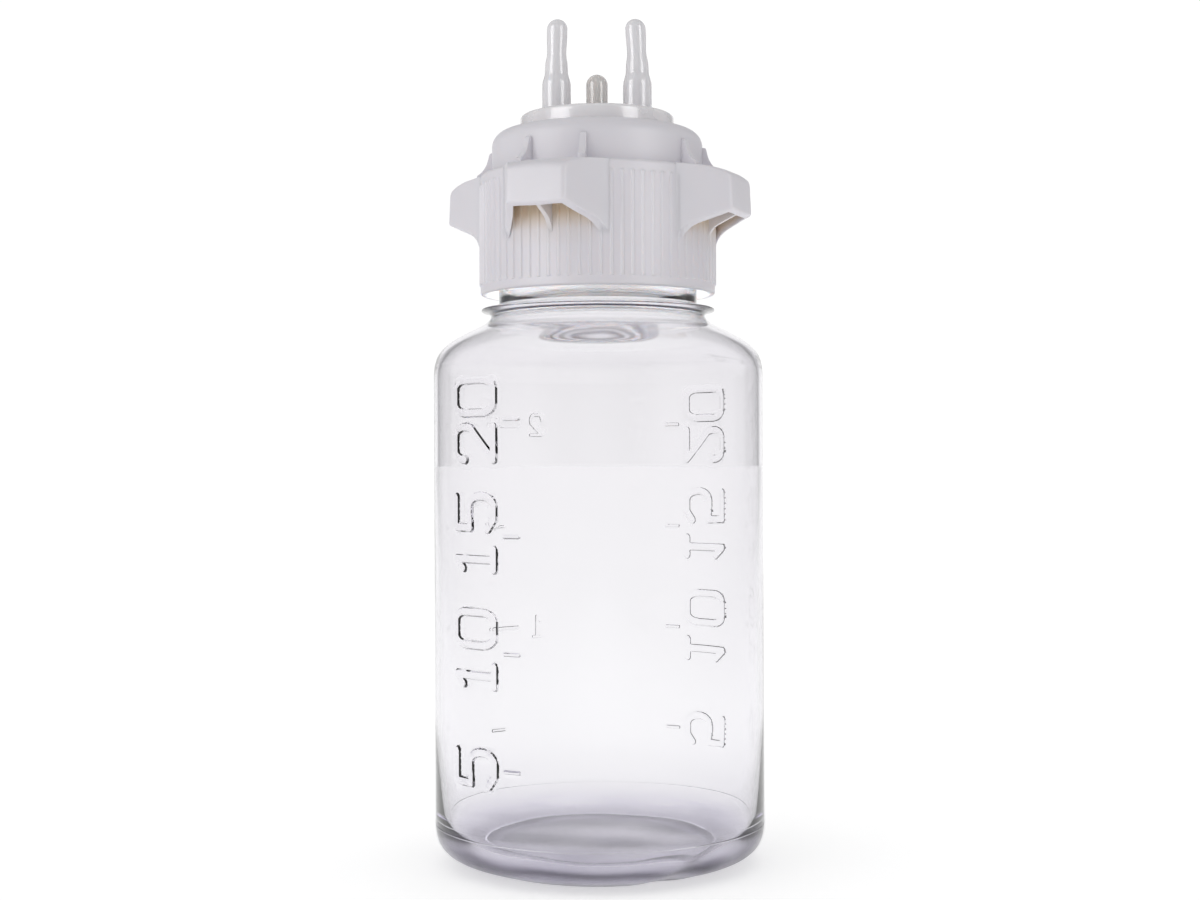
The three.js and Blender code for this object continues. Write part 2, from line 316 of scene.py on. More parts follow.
def fade(tree, source, low, high, first, second):
    """A value that goes smoothly from first to second as the source goes from low to high."""
    node = tree.nodes.new("ShaderNodeMapRange")
    node.interpolation_type = "SMOOTHSTEP"
    values = {"From Min": low, "From Max": high, "To Min": first, "To Max": second}
    for name, value in values.items():
        node.inputs[name].default_value = value
    tree.links.new(source, node.inputs["Value"])
    return node.outputs["Result"]


def combine(tree, operation, first, second):
    """The result of an operation on two values, each a socket or a plain number."""
    node = tree.nodes.new("ShaderNodeMath")
    node.operation = operation
    for value, socket in zip((first, second), node.inputs):
        if isinstance(value, float):
            socket.default_value = value
        else:
            tree.links.new(value, socket)
    return node.outputs["Value"]


def clear_bottle_material():
    """Clear polycarbonate, faintly violet where it is thick, with the slow waves of a blown wall, and
    painted shade and light in its tint from base to neck.
    """
    n = Nodes("clear_polycarbonate")
    n.set(Transmission_Weight=1.0, IOR=1.5)
    # The colour darkens from the foot of the wall up to the shoulder, is lighter again in the neck, and
    # turns streaky and violet in the base. The base's violet is partly the tint of its thick plastic and
    # partly painted shade; the wall's darkening is painted shade and the lighter neck painted light.
    split = n.add("ShaderNodeSeparateXYZ")
    n.join(n.add("ShaderNodeTexCoord").outputs["Object"], split.inputs["Vector"])
    low = n.ramp(n.noise(18), [(0.3, (0.965, 0.965, 0.965)), (0.7, (0.98, 0.98, 0.978))])
    high = n.ramp(n.noise(24), [(0.3, (0.94, 0.935, 0.94)), (0.7, (0.955, 0.95, 0.953))])
    streaks = n.noise(30, 4, 0.55, (1, 1, 5))
    # Painted shade in the base, over the violet of its thick plastic.
    violet_tint_and_shade = n.ramp(streaks, [(0.35, (0.76, 0.745, 0.82)), (0.7, (0.96, 0.95, 0.99))])
    # Painted shade: darker towards the shoulder; painted light: lighter in the neck.
    wall = n.mix(fade(n.tree, split.outputs["Z"], 0.02, 0.22, 0.0, 1.0), low, high)
    base = fade(n.tree, split.outputs["Z"], 0.0045, 0.0155, 1.0, 0.0)
    neck = fade(n.tree, split.outputs["Z"], 0.202, 0.209, 0.0, 1.0)
    n.join(n.mix(base, n.mix(neck, wall, low), violet_tint_and_shade), n.shader.inputs["Base Color"])
    blur = combine(n.tree, "ADD", base, combine(n.tree, "MULTIPLY", neck, 0.4))
    n.range(blur, 0.012, 0.27, n.shader.inputs["Roughness"])
    slow = n.bump(n.noise(22, 2, 0.4, (1, 1, 0.35)), 0.0006, 0.25)
    n.join(slow, n.shader.inputs["Normal"])
    absorb = n.add("ShaderNodeVolumeAbsorption")
    absorb.inputs["Color"].default_value = (0.52, 0.47, 0.66, 1)
    absorb.inputs["Density"].default_value = 34.0
    n.join(absorb.outputs["Volume"], n.output.inputs["Volume"])
    return n.material


def moulded_white_material():
    """White polypropylene: satin, a little light goes through, with painted warm shade in the hollows and
    painted light on the inside.
    """
    n = Nodes("white_polypropylene")
    cloud = n.noise(30, 3)
    white = n.ramp(cloud, [(0.3, (0.765, 0.745, 0.79)), (0.7, (0.79, 0.77, 0.815))])
    # Painted shade: a warm tan in the lugs' hollows and on the skirt under them, where shade falls.
    hollow = n.ramp(n.noise(120, 2), [(0.3, (0.70, 0.57, 0.43)), (0.7, (0.76, 0.64, 0.50))])
    depth = n.add("ShaderNodeAttribute", attribute_name="hollow").outputs["Fac"]
    inside = n.add("ShaderNodeAttribute", attribute_name="inside").outputs["Fac"]
    # Painted light: the inside of the skirt and crown is coloured lighter than the outside, for light that
    # comes through the wall.
    bore = n.ramp(n.noise(80, 2), [(0.3, (0.93, 0.91, 0.89)), (0.7, (0.96, 0.94, 0.92))])
    shell = n.mix(depth, white, hollow)
    n.join(n.mix(inside, shell, bore), n.shader.inputs["Base Color"])
    n.range(n.noise(90), 0.36, 0.5, n.shader.inputs["Roughness"])
    # Seen from inside, light comes through the skirt's thin wall.
    n.range(inside, 0.2, 1.0, n.shader.inputs["Subsurface Weight"])
    n.set(Subsurface_Radius=(1.0, 0.85, 0.75), Subsurface_Scale=0.003, IOR=1.49)
    grain = n.bump(n.noise(1800, 2), 0.00006, 0.35)
    slow = n.bump(n.noise(60, 2), 0.0003, 0.2, after=grain)
    n.join(slow, n.shader.inputs["Normal"])
    return n.material


def translucent_material(name, low, high, through, roughness):
    """Unpigmented plastic: milky, with some light going straight through."""
    n = Nodes(name)
    colour = n.ramp(n.noise(45, 3), [(0.3, low), (0.7, high)])
    n.join(colour, n.shader.inputs["Base Color"])
    n.range(n.noise(110), roughness - 0.05, roughness + 0.06, n.shader.inputs["Roughness"])
    n.set(Transmission_Weight=through, IOR=1.5, Coat_Weight=0.8, Coat_Roughness=0.06)
    n.set(Subsurface_Weight=0.35, Subsurface_Radius=(1.0, 0.9, 0.85), Subsurface_Scale=0.004)
    n.join(n.bump(n.noise(900, 2), 0.00005, 0.3), n.shader.inputs["Normal"])
    return n.material


def amber_material():
    """Clear plastic that has browned a little, over a light stem: its walls look dark edge-on."""
    n = Nodes("amber_vent")
    n.set(Transmission_Weight=0.4, IOR=1.46, Coat_Weight=0.6, Coat_Roughness=0.05)
    colour = n.ramp(n.noise(70, 3), [(0.3, (0.92, 0.89, 0.87)), (0.7, (0.95, 0.92, 0.90))])
    n.join(colour, n.shader.inputs["Base Color"])
    n.range(n.noise(110), 0.03, 0.1, n.shader.inputs["Roughness"])
    n.set(Subsurface_Weight=0.5, Subsurface_Radius=(1.0, 0.9, 0.85), Subsurface_Scale=0.002)
    absorb = n.add("ShaderNodeVolumeAbsorption")
    absorb.inputs["Color"].default_value = (0.66, 0.52, 0.42, 1)
    absorb.inputs["Density"].default_value = 120.0
    n.join(absorb.outputs["Volume"], n.output.inputs["Volume"])
    return n.material


# ---- bottle ----

class Strokes:
    """Raised strokes on the unrolled wall: segments between points in millimetres, with a width each."""

    def __init__(self):
        self.segments = []

    def path(self, points, width):
        """Adds a line through the points."""
        for (x0, y0), (x1, y1) in zip(points, points[1:]):
            self.segments.append((x0, y0, x1, y1, width / 2))

    def edge_distance(self, x, y, circumference):
        """Distance from each point to the nearest stroke's edge, negative inside it."""
        best = np.full(np.shape(x), 1e6)
        for x0, y0, x1, y1, half in self.segments:
            px = (x - x0 + circumference / 2) % circumference - circumference / 2
            py = y - y0
            dx, dy = x1 - x0, y1 - y0
            t = np.clip((px * dx + py * dy) / (dx * dx + dy * dy), 0, 1)
            best = np.minimum(best, np.hypot(px - t * dx, py - t * dy) - half)
        return best


# Digits drawn in a box one unit wide and one high, as strokes with round turns.
DIGITS = {
    "0": [[(0.5, 0)] + arc(0.72, 0.28, 0.28, -90, 0, 5) + arc(0.72, 0.72, 0.28, 0, 90, 5)
          + arc(0.28, 0.72, 0.28, 90, 180, 5) + arc(0.28, 0.28, 0.28, 180, 270, 5) + [(0.5, 0)]],
    "1": [[(0.22, 0.78), (0.5, 1), (0.5, 0)], [(0.2, 0), (0.8, 0)]],
    "2": [[(0, 0.74)] + arc(0.28, 0.72, 0.28, 180, 90, 5) + arc(0.72, 0.72, 0.28, 90, -35, 8)
          + [(0, 0), (1, 0)]],
    "5": [[(0.95, 1), (0.05, 1), (0.03, 0.58)] + [(0.5, 0.6)] + arc(0.7, 0.3, 0.3, 90, -90, 9)
          + [(0.3, 0), (0, 0.14)]],
}


def draw_number(strokes, text, start, width, height, gap, stroke, place):
    """Lays out digits along a line. place turns (along, up) into a point on the unrolled wall."""
    along = start
    for character in text:
        for path in DIGITS[character]:
            strokes.path([place(along + x * width, y * height) for x, y in path], stroke)
        along += width + gap


def wall_marks():
    """The volume marks: a large scale on two sides and a small litre scale on the third."""
    strokes = Strokes()
    per_degree = math.radians(1) * BODY_RADIUS
    two_litres, litre = 169.3, 84.2  # the height of the top line, and a litre's rise
    # Large numbers in tenths of a litre read upwards, each centred on the short line of its level.
    for middle in (-45.5, 134.5):
        for tenths in (5, 10, 15, 20):
            level = two_litres - (20 - tenths) / 10 * litre
            text = str(tenths)
            width, gap, height = 12.0, 5.0, 20.5
            length = len(text) * width + (len(text) - 1) * gap
            foot = middle * per_degree + height / 2
            draw_number(strokes, text, level - length / 2, width, height, gap, 3.0,
                        lambda along, up, foot=foot: (foot - up, along))
            strokes.path([(foot + 4.5, level), (foot + 10.5, level)], 1.2)
    # Small litre scale: a line for each half litre, numbers on the whole ones.
    for tenths in (5, 10, 15, 20):
        level = two_litres - (20 - tenths) / 10 * litre
        whole = tenths % 10 == 0
        right = -134.5 * per_degree
        strokes.path([(right - (14.0 if whole else 7.0), level), (right, level)], 1.1)
        if whole:
            left = -157.5 * per_degree
            draw_number(strokes, str(tenths // 10), left, 5.2, 8.5, 1, 1.2,
                        lambda along, up, level=level: (along, level - 4.2 + up))
    return strokes


def mark_height(distance):
    """How far a stroke stands off the wall, from the distance to its edge."""
    return MARK_RISE * smoothstep((0.22 - distance) / 0.5)


def wall_patch(angles):
    """The straight wall between two rings of vertices at the given angles, finer round the marks.

    Returns vertices, faces, and the indices of the bottom and top rings."""
    strokes = wall_marks()
    circumference = 2 * math.pi * BODY_RADIUS
    count = len(angles)
    columns = np.arange(count + 1) * circumference / count
    rows = np.linspace(WALL_BOTTOM, WALL_TOP, 74)
    grid_x, grid_y = np.meshgrid(columns, rows)
    points = [np.column_stack([grid_x.ravel(), grid_y.ravel()])]
    step = 0.3
    fine_x = np.arange(step, circumference - step, step)
    fine_y = np.arange(WALL_BOTTOM + 1, WALL_TOP - 1, step)
    azimuth_zero = (math.radians(-90) - angles[0]) * BODY_RADIUS
    mesh_x, mesh_y = np.meshgrid(fine_x, fine_y)
    near = strokes_near(strokes, mesh_x - azimuth_zero, mesh_y, circumference)
    points.append(np.column_stack([mesh_x[near], mesh_y[near]]))
    flat = np.vstack(points)
    result = geometry.delaunay_2d_cdt([Vector(p) for p in flat.tolist()], [], [], 0, 1e-5)
    coordinates = np.array([tuple(v) for v in result[0]])
    triangles = np.array(result[2])
    # The first and last columns are the same line of the wall.
    target = np.arange(len(coordinates))
    last = np.abs(coordinates[:, 0] - circumference) < 1e-3
    first = np.where(np.abs(coordinates[:, 0]) < 1e-3)[0]
    by_height = {round(coordinates[i, 1], 3): i for i in first}
    for i in np.where(last)[0]:
        target[i] = by_height[round(coordinates[i, 1], 3)]
    keep = np.where(~last)[0]
    renumber = np.full(len(coordinates), -1)
    renumber[keep] = np.arange(len(keep))
    triangles = renumber[target[triangles]]
    x, height = coordinates[keep, 0], coordinates[keep, 1]
    distance = strokes.edge_distance(x - azimuth_zero, height, circumference)
    front = np.cos((x - azimuth_zero) / BODY_RADIUS) > 0
    radius = BODY_RADIUS + mark_height(distance) * np.where(front, 1.0, FAR_MARKS)
    angle = angles[0] + x / BODY_RADIUS
    vertices = np.column_stack([radius * np.cos(angle), radius * np.sin(angle), height])
    ring = {}
    for name, level in (("bottom", WALL_BOTTOM), ("top", WALL_TOP)):
        found = np.where(np.abs(height - level) < 1e-3)[0]
        ring[name] = found[np.argsort(x[found])].tolist()
    return vertices, [tuple(t) for t in triangles.tolist()], ring


def strokes_near(strokes, x, y, circumference):
    """True where a point lies on or near the sloping edge of a stroke."""
    distance = strokes.edge_distance(x, y, circumference)
    return (distance > -0.45) & (distance < 0.4)


def thread_ridge(height, angles, start, depth):
    """How far a thread stands off its wall, along a helix that rises from start, tapered at both ends."""
    ridge = np.zeros(len(angles))
    for turn in range(-1, 3):
        along = np.mod(angles, 2 * math.pi) / (2 * math.pi) + turn
        inside = (along >= 0) & (along <= THREAD_TURNS)
        taper = smoothstep(np.minimum(along, THREAD_TURNS - along) / 0.2)
        offset = np.abs(height - (start + PITCH * along))
        ridge = np.maximum(ridge, depth * smoothstep((1.5 - offset) / 0.9) * taper * inside)
    return ridge


def thread_shape(radii, height, angles):
    """Raises the neck's radius along the helix of its thread."""
    if not THREAD_START - 3 < height < THREAD_START + PITCH * THREAD_TURNS + 3:
        return radii
    return radii + thread_ridge(height, angles, THREAD_START, THREAD_DEPTH)


def seam_shape(radii, height):
    """A fine raised line where the mould's parts met."""
    for seam in (BASE_SEAM, SHOULDER_SEAM):
        radii = radii + SEAM_SIZE * math.exp(-(((height - seam) / SEAM_SIZE) ** 2))
    return radii


def seam_rows(seam, before, after):
    """Profile points closely spaced about a seam on the straight wall."""
    steps = (-0.5, -0.3, -0.15, 0.0, 0.15, 0.3, 0.5)
    return [(BODY_RADIUS, before)] + [(BODY_RADIUS, seam + s) for s in steps] + [(BODY_RADIUS, after)]


def shoulder_profile():
    """The outside from the straight wall to the waist under the support ring."""
    curve = bezier([(BODY_RADIUS, 186), (BODY_RADIUS, 195), (61.5, 198.6), (46, 205.7)], 44)
    waist = bezier([(46, 205.7), (42.4, 207.3), (41.2, 209.8)], 8)
    return curve + waist[1:]


def dent_base(vertices):
    """Presses a shallow slanting flute into the base's corner, at the front on the right."""
    x, y, z = np.array(vertices, float).T
    azimuth = np.degrees(np.arctan2(x, -y))
    middle = 27 + 0.8 * np.clip(z, 0, 22)
    across = np.exp(-(((azimuth - middle) / 8.5) ** 2))
    depth = 1.5 * across * smoothstep((19 - z) / 13) * smoothstep((np.hypot(x, y) - 38) / 12)
    radius = np.maximum(np.hypot(x, y), 1e-6)
    pull = 1 - depth / radius
    return np.column_stack([x * pull, y * pull, z + 0.45 * depth * smoothstep((16 - z) / 14)])


def ripple_base(vertices):
    """Slow unevenness in the thickness of the base, as blowing leaves it."""
    x, y, z = np.array(vertices, float).T
    low = smoothstep((24 - z) / 14)
    waves = (
        0.22 * np.sin(x / 13.0 + 0.4) * np.cos(y / 11.0 + 1.1)
        + 0.10 * np.sin(x / 6.1 - y / 9.0)
        + 0.22 * np.cos(y / 5.2 + x / 23.0 + 0.7)
    )
    return np.column_stack([x, y, z + low * waves])


def bottle_mesh():
    """The whole bottle as one closed skin: wall with marks, base, shoulder and neck, and the inside."""
    angles = even_angles(192, math.radians(90))
    below = (
        [(0, 4)]
        + bezier([(4, 3.95), (20, 3.8), (36, 3.6), (44.6, 0.35)], 16)
        + [(45.4, 0)]
        + bezier([(46, 0), (54, 2.8), (BODY_RADIUS, 3.4), (BODY_RADIUS, 15)], 30)
        + seam_rows(BASE_SEAM, 15.2, 18.0)
    )
    ring_lip = arc(RING_RADIUS - 0.45, 212.3, 0.45, -60, 75, 6)
    above = (
        [(BODY_RADIUS, WALL_TOP + 1)]
        + shoulder_profile()
        + bezier([(41.2, 209.8), (41.3, 211.0), (43.0, 211.5)], 4)[1:]
        + ring_lip
        + bezier([(43.0, 213.0), (39.4, 213.2), (NECK_RADIUS, 214.6)], 6)
        + line((NECK_RADIUS, 219), (NECK_RADIUS, 226), 2)
        + line((NECK_RADIUS, 227), (NECK_RADIUS, 244), 42)
        + line((NECK_RADIUS, 250), (NECK_RADIUS, 270), 3)
        + arc(NECK_RADIUS - 0.8, LIP - 0.8, 0.8, 0, 90, 4)
        + arc(NECK_BORE + 0.8, LIP - 0.8, 0.8, 90, 180, 4)
    )
    inner = BODY_RADIUS - WALL
    within = (
        line((NECK_BORE, 265), (NECK_BORE, 218), 5)
        + bezier([(NECK_BORE, 217), (36.2, 214.4), (38.2, 212.8), (38.3, 211.2), (39.4, 208.9)], 12)[1:]
        + bezier([(39.4, 208.9), (41.0, 205.8), (45.1, 203.9)], 8)[1:]
        + bezier([(45.1, 203.9), (59.8, 197.0), (inner, 193.8), (inner, 185.5)], 36)[1:]
        + line((inner, 170), (inner, 60), 6)
        + bezier([(inner, 56), (inner - 0.1, 44), (inner - 0.8, 30), (inner - 1.9, 18)], 10)
        + bezier([(inner - 1.9, 18), (inner - 3.0, 8.6), (52, 7.0), (44, 6.4)], 22)[1:]
        + bezier([(44, 6.4), (34, 5.9), (20, 7.3), (4, 7.5)], 14)[1:]
        + [(0, 7.5)]
    )

    def outside(radii, height, turn):
        return thread_shape(seam_shape(radii, height), height, turn)

    wall_vertices, wall_faces, ring = wall_patch(angles)
    lower_vertices, lower_faces = revolve(below, angles, shape=outside)
    upper_vertices, upper_faces = revolve(above, angles, shape=outside)
    inner_vertices, inner_faces = revolve(within, angles)
    lower_vertices = dent_base(lower_vertices)
    inner_vertices = ripple_base(inner_vertices)
    vertices, faces = join_parts([
        (wall_vertices, wall_faces),
        (lower_vertices, lower_faces),
        (upper_vertices, upper_faces),
        (inner_vertices, inner_faces),
    ])
    # Rings of vertices that meet: base to wall, wall to shoulder, lip to bore.
    count = len(angles)
    lower_start = len(wall_vertices)
    upper_start = lower_start + len(lower_vertices)
    inner_start = upper_start + len(upper_vertices)
    lower_ring = list(range(upper_start - count, upper_start))
    upper_ring = list(range(upper_start, upper_start + count))
    lip_ring = list(range(inner_start - count, inner_start))
    bore_ring = list(range(inner_start, inner_start + count))
    for first, second in ((lower_ring, ring["bottom"]), (ring["top"], upper_ring), (lip_ring, bore_ring)):
        for i in range(count):
            j = (i + 1) % count
            faces.append((first[i], first[j], second[j], second[i]))
    return vertices, faces


def make_bottle(material):
    """The clear body."""
    vertices, faces = bottle_mesh()
    obj = mesh_object("bottle_clear", vertices, faces, [material])
    face_outward(obj)
    return obj


# ---- screw ring ----

def rib_angles():
    """Columns round the ring: seven for each rib, so that its flanks are crisp."""
    offsets = np.array([-0.8, -0.58, -0.36, 0.36, 0.58, 0.8, 1.98]) / SKIRT_RADIUS
    centres = even_angles(RIB_COUNT, LUG_TURN + RIB_PHASE)
    return (centres[:, None] + offsets).ravel()


def rib_shape(radii, height, angles):
    """Ribs on the skirt between the rim's plain band and the deck."""
    if not RIB_FOOT - 0.1 < height < RIB_TOP + 0.1:
        return radii
    outer = radii > SKIRT_RADIUS - 1
    pitch = 2 * math.pi / RIB_COUNT
    away = np.mod(angles - LUG_TURN - RIB_PHASE + pitch / 2, pitch) - pitch / 2
    across = smoothstep((RIB_HALF_WIDTH - np.abs(away) * SKIRT_RADIUS) / RIB_FLANK)
    along = smoothstep((height - RIB_FOOT) / 0.5) * smoothstep((RIB_TOP - height) / 0.9)
    return radii + RIB_RISE * across * along * outer


def ring_profile():
    """The ring's section: up the skirt, over deck and crown, and down through the opening and bore."""
    edge = 5.8
    return (
        arc(SKIRT_BORE + 0.7, RIM + 0.7, 0.7, 180, 270, 3)
        + arc(SKIRT_RADIUS - 1.0, RIM + 1.0, 1.0, -90, 0, 5)
        + [(SKIRT_RADIUS, RIM + 2.2), (SKIRT_RADIUS, 221.3)]
        + [(SKIRT_RADIUS, z) for z in (221.5, 221.75, 222.0, 222.4)]
        + line((SKIRT_RADIUS, 226), (SKIRT_RADIUS, 258), 5)
        + [(SKIRT_RADIUS, z) for z in (259.6, 260.0, 260.3, 260.6, 261.4)]
        + arc(SKIRT_RADIUS - 1.3, DECK - 1.3, 1.3, 0, 90, 6)
        + [(42.6, DECK + 0.03)]
        + arc(CROWN_RADIUS + 0.8, DECK + 0.9, 0.8, 270, 180, 4)
        + line((CROWN_RADIUS, 268), (CROWN_RADIUS, CROWN_TOP - edge), 3)
        + arc(CROWN_RADIUS - edge, CROWN_TOP - edge, edge, 0, 90, 14)[1:]
        + [(32.5, CROWN_TOP)]
        + arc(OPENING + 0.5, CROWN_TOP - 0.5, 0.5, 90, 180, 4)
        + [(OPENING, 278.3), (36.4, 278.3), (CROWN_BORE, 275.6), (CROWN_BORE, 274.9)]
        + [(37.4, 274.3), (37.4, 273.7), (CROWN_BORE, 273.1), (CROWN_BORE, 261.6)]
        + [(42.2, 261.2), (SKIRT_BORE, 260.2)]
        + line((SKIRT_BORE, 246), (SKIRT_BORE, 225), 42)
        + [(SKIRT_BORE, 221)]
    )


def ring_thread(radii, height, angles):
    """The ring's own thread stands in from the skirt's bore, half a pitch below the neck's."""
    if radii[0] > SKIRT_BORE + 0.01 or not 224 < height < 247:
        return radii
    return radii - thread_ridge(height, angles, THREAD_START - PITCH / 2, RING_THREAD_DEPTH)


def lug_outline(reach, half_width, tangent, corner, steps):
    """Half the plan of a lug, from the middle of its face to where its side meets the skirt."""
    flare = math.radians(25)
    angle = math.radians(tangent)
    meet = np.array([SKIRT_RADIUS * math.cos(angle), SKIRT_RADIUS * math.sin(angle)])
    edge = np.array([reach, half_width])
    gap = edge - meet
    along = (gap[0] * math.cos(angle) + gap[1] * math.sin(angle)) / math.cos(flare + angle)
    control = edge + along * np.array([-math.cos(flare), math.sin(flare)])
    before = edge - np.array([0, corner])
    after = edge + corner * np.array([-math.cos(flare), math.sin(flare)])
    face = line((reach, 0), tuple(before), 3)
    turn = bezier([tuple(before), tuple(edge), tuple(after)], 7)
    side = bezier([tuple(after), tuple(control), tuple(meet)], steps)
    return np.array(face + turn[1:] + side[1:])


def lug_top(radius):
    """Height of a lug's roof at that radius."""
    radii = [43.5, SKIRT_RADIUS, 52, 55.7, LUG_REACH, 60.5]
    heights = [264.12, DECK, 263.4, 262.2, 260.6, 259.4]
    return np.interp(radius, radii, heights)


def lug_foot(radius):
    """Height of a lug's lower edge at that radius."""
    root = bezier([(SKIRT_RADIUS, 236.6), (45.7, 240.6), (49, 242.4)], 12)
    curve = np.array(root + [(57, 246.2), (61, 247.6)])
    return np.interp(radius, curve[:, 0], curve[:, 1])


def lug_mesh():
    """One lug about the X axis: a thick curled shell, open underneath, its roots inside the skirt.

    Returns vertices, faces, and how deep in the hollow each vertex is, from 0 to 1, which sets the painted
    shade."""
    half = lug_outline(LUG_REACH, LUG_HALF_WIDTH, LUG_ROOT, 1.5, 18)
    plan = np.vstack([half[:0:-1] * [1, -1], half])
    inner = lug_outline(LUG_REACH - LUG_WALL, LUG_HALF_WIDTH - LUG_WALL, LUG_ROOT_INSIDE, 0.8, 18)
    inner_angle = np.arctan2(inner[:, 1], inner[:, 0])
    inner_radius = np.hypot(inner[:, 0], inner[:, 1])
    rows = []
    painted_shade_rows = None
    for x, y in plan:
        angle, outer = math.atan2(y, x), math.hypot(x, y)
        hollow = float(np.interp(abs(angle), inner_angle, inner_radius, right=HOLLOW_START))
        hollow = min(hollow, outer - 0.9) if outer > 46 else HOLLOW_START
        share = max(0.0, min(1.0, (outer - SKIRT_RADIUS) / (LUG_REACH - SKIRT_RADIUS)))
        bend = 0.3 + 1.5 * share
        top = float(lug_top(outer - bend))
        foot = float(lug_foot(outer))
        drop = float(lug_top(outer) - 0.2) - bend
        roof_end = max(outer - bend, LUG_START + 0.2)
        roof = [(r, float(lug_top(r))) for r in np.linspace(LUG_START, roof_end, 7)]
        shoulder = bezier([roof[-1], (outer - 0.1 * bend, top - 0.25 * bend), (outer, drop)], 5)[1:]
        lean = 0.45 * share
        wall = [(outer + lean * t, drop + (foot + 1.0 - drop) * t) for t in np.linspace(0.25, 1, 4)]
        lip_top = float(lug_foot(hollow))
        low = wall[-1]
        lip_end = (low[0] - 0.9 * min(1, share + 0.4), foot - 0.1)
        lip = bezier([low, (low[0] - 0.05, foot + 0.02), lip_end], 4)[1:]
        lip += [(hollow + 0.35, lip_top + 0.02), (hollow + 0.05, lip_top + 0.3)]
        ceiling = float(lug_top(hollow)) - LUG_ROOF
        back = [(hollow, lip_top + (ceiling - 1.2 - lip_top) * t) for t in (0.12, 0.4, 0.75, 1.0)]
        back += bezier([back[-1], (hollow, ceiling - 0.1), (hollow - 1.2, ceiling)], 3)[1:]
        inward = np.linspace(max(hollow - 2, LUG_START + 0.1), LUG_START, 5)
        reach_in = [(r, float(lug_top(r)) - LUG_ROOF) for r in inward]
        section = roof + shoulder + wall + lip + back + reach_in
        rows.append([(r * math.cos(angle), r * math.sin(angle), z) for r, z in section])
        # How deep in the hollow each point of the section lies, for the painted shade.
        if painted_shade_rows is None:
            open_part = len(roof + shoulder + wall + lip)
            painted_shade_rows = [0.0] * open_part + [0.5] + [1.0] * (len(section) - open_part - 1)
    length = len(rows[0])
    vertices = [p for row in rows for p in row]
    faces = []
    for i in range(len(rows) - 1):
        for j in range(length):
            k = (j + 1) % length
            faces.append((i * length + j, i * length + k, (i + 1) * length + k, (i + 1) * length + j))
    faces.append(tuple(range(length)))
    faces.append(tuple(reversed(range((len(rows) - 1) * length, len(rows) * length))))
    depth = painted_shade_rows * len(rows)
    return vertices, faces, depth


def slab_mesh(profile, thickness, round_edge):
    """A flat web from a profile of (radius, height) points, with its faces' edges rounded."""
    centre = np.mean(profile, axis=0)
    outline = np.array(profile, float)
    layers = []
    for side, inset in ((-0.5, 1), (-0.5, 0), (0.5, 0), (0.5, 1)):
        y = side * thickness + (round_edge * -np.sign(side) if inset == 0 else 0)
        pulled = outline
        if inset:
            gap = centre - outline
            pulled = outline + gap / np.linalg.norm(gap, axis=1)[:, None] * round_edge
        layers.append([(px, y, pz) for px, pz in pulled])
    count = len(profile)
    vertices = [p for layer in layers for p in layer]
    faces = []
    for level in range(len(layers) - 1):
        for i in range(count):
            j = (i + 1) % count
            low, high = level * count, (level + 1) * count
            faces.append((low + i, low + j, high + j, high + i))
    faces.append(tuple(reversed(range(count))))
    faces.append(tuple(range(len(vertices) - count, len(vertices))))
    return vertices, faces


def fin_mesh(side):
    """A gusset between crown and deck, standing straight out from the axis."""
    sweep = bezier([(47.2, 265.4), (44.6, 266.6), (42.9, 269.8), (42.3, 273.4)], 10)
    top = bezier([(42.3, 273.4), (42.2, 274.2), (41.5, 274.3)], 4)[1:]
    profile = [(39.6, 262.5), (47.2, 262.5)] + sweep + top + [(39.6, 274.3)]
    vertices, faces = slab_mesh(profile, FIN_THICKNESS, 0.4)
    x, y, z = full_turn(*np.array(vertices).T, side * FIN_TURN)
    return np.column_stack([x, y, z]), faces


def web_mesh():
    """The thin wall that stiffens the middle of a lug's hollow."""
    edge = [(r, float(lug_foot(r)) + 0.5) for r in np.linspace(45.0, 57.2, 12)]
    top = [(r, float(lug_top(r)) - 1.6) for r in np.linspace(57.2, 45.0, 5)]
    profile = [(HOLLOW_START, 237.5)] + edge + top + [(HOLLOW_START, 262.0)]
    return slab_mesh(profile, WEB_THICKNESS, 0.25)


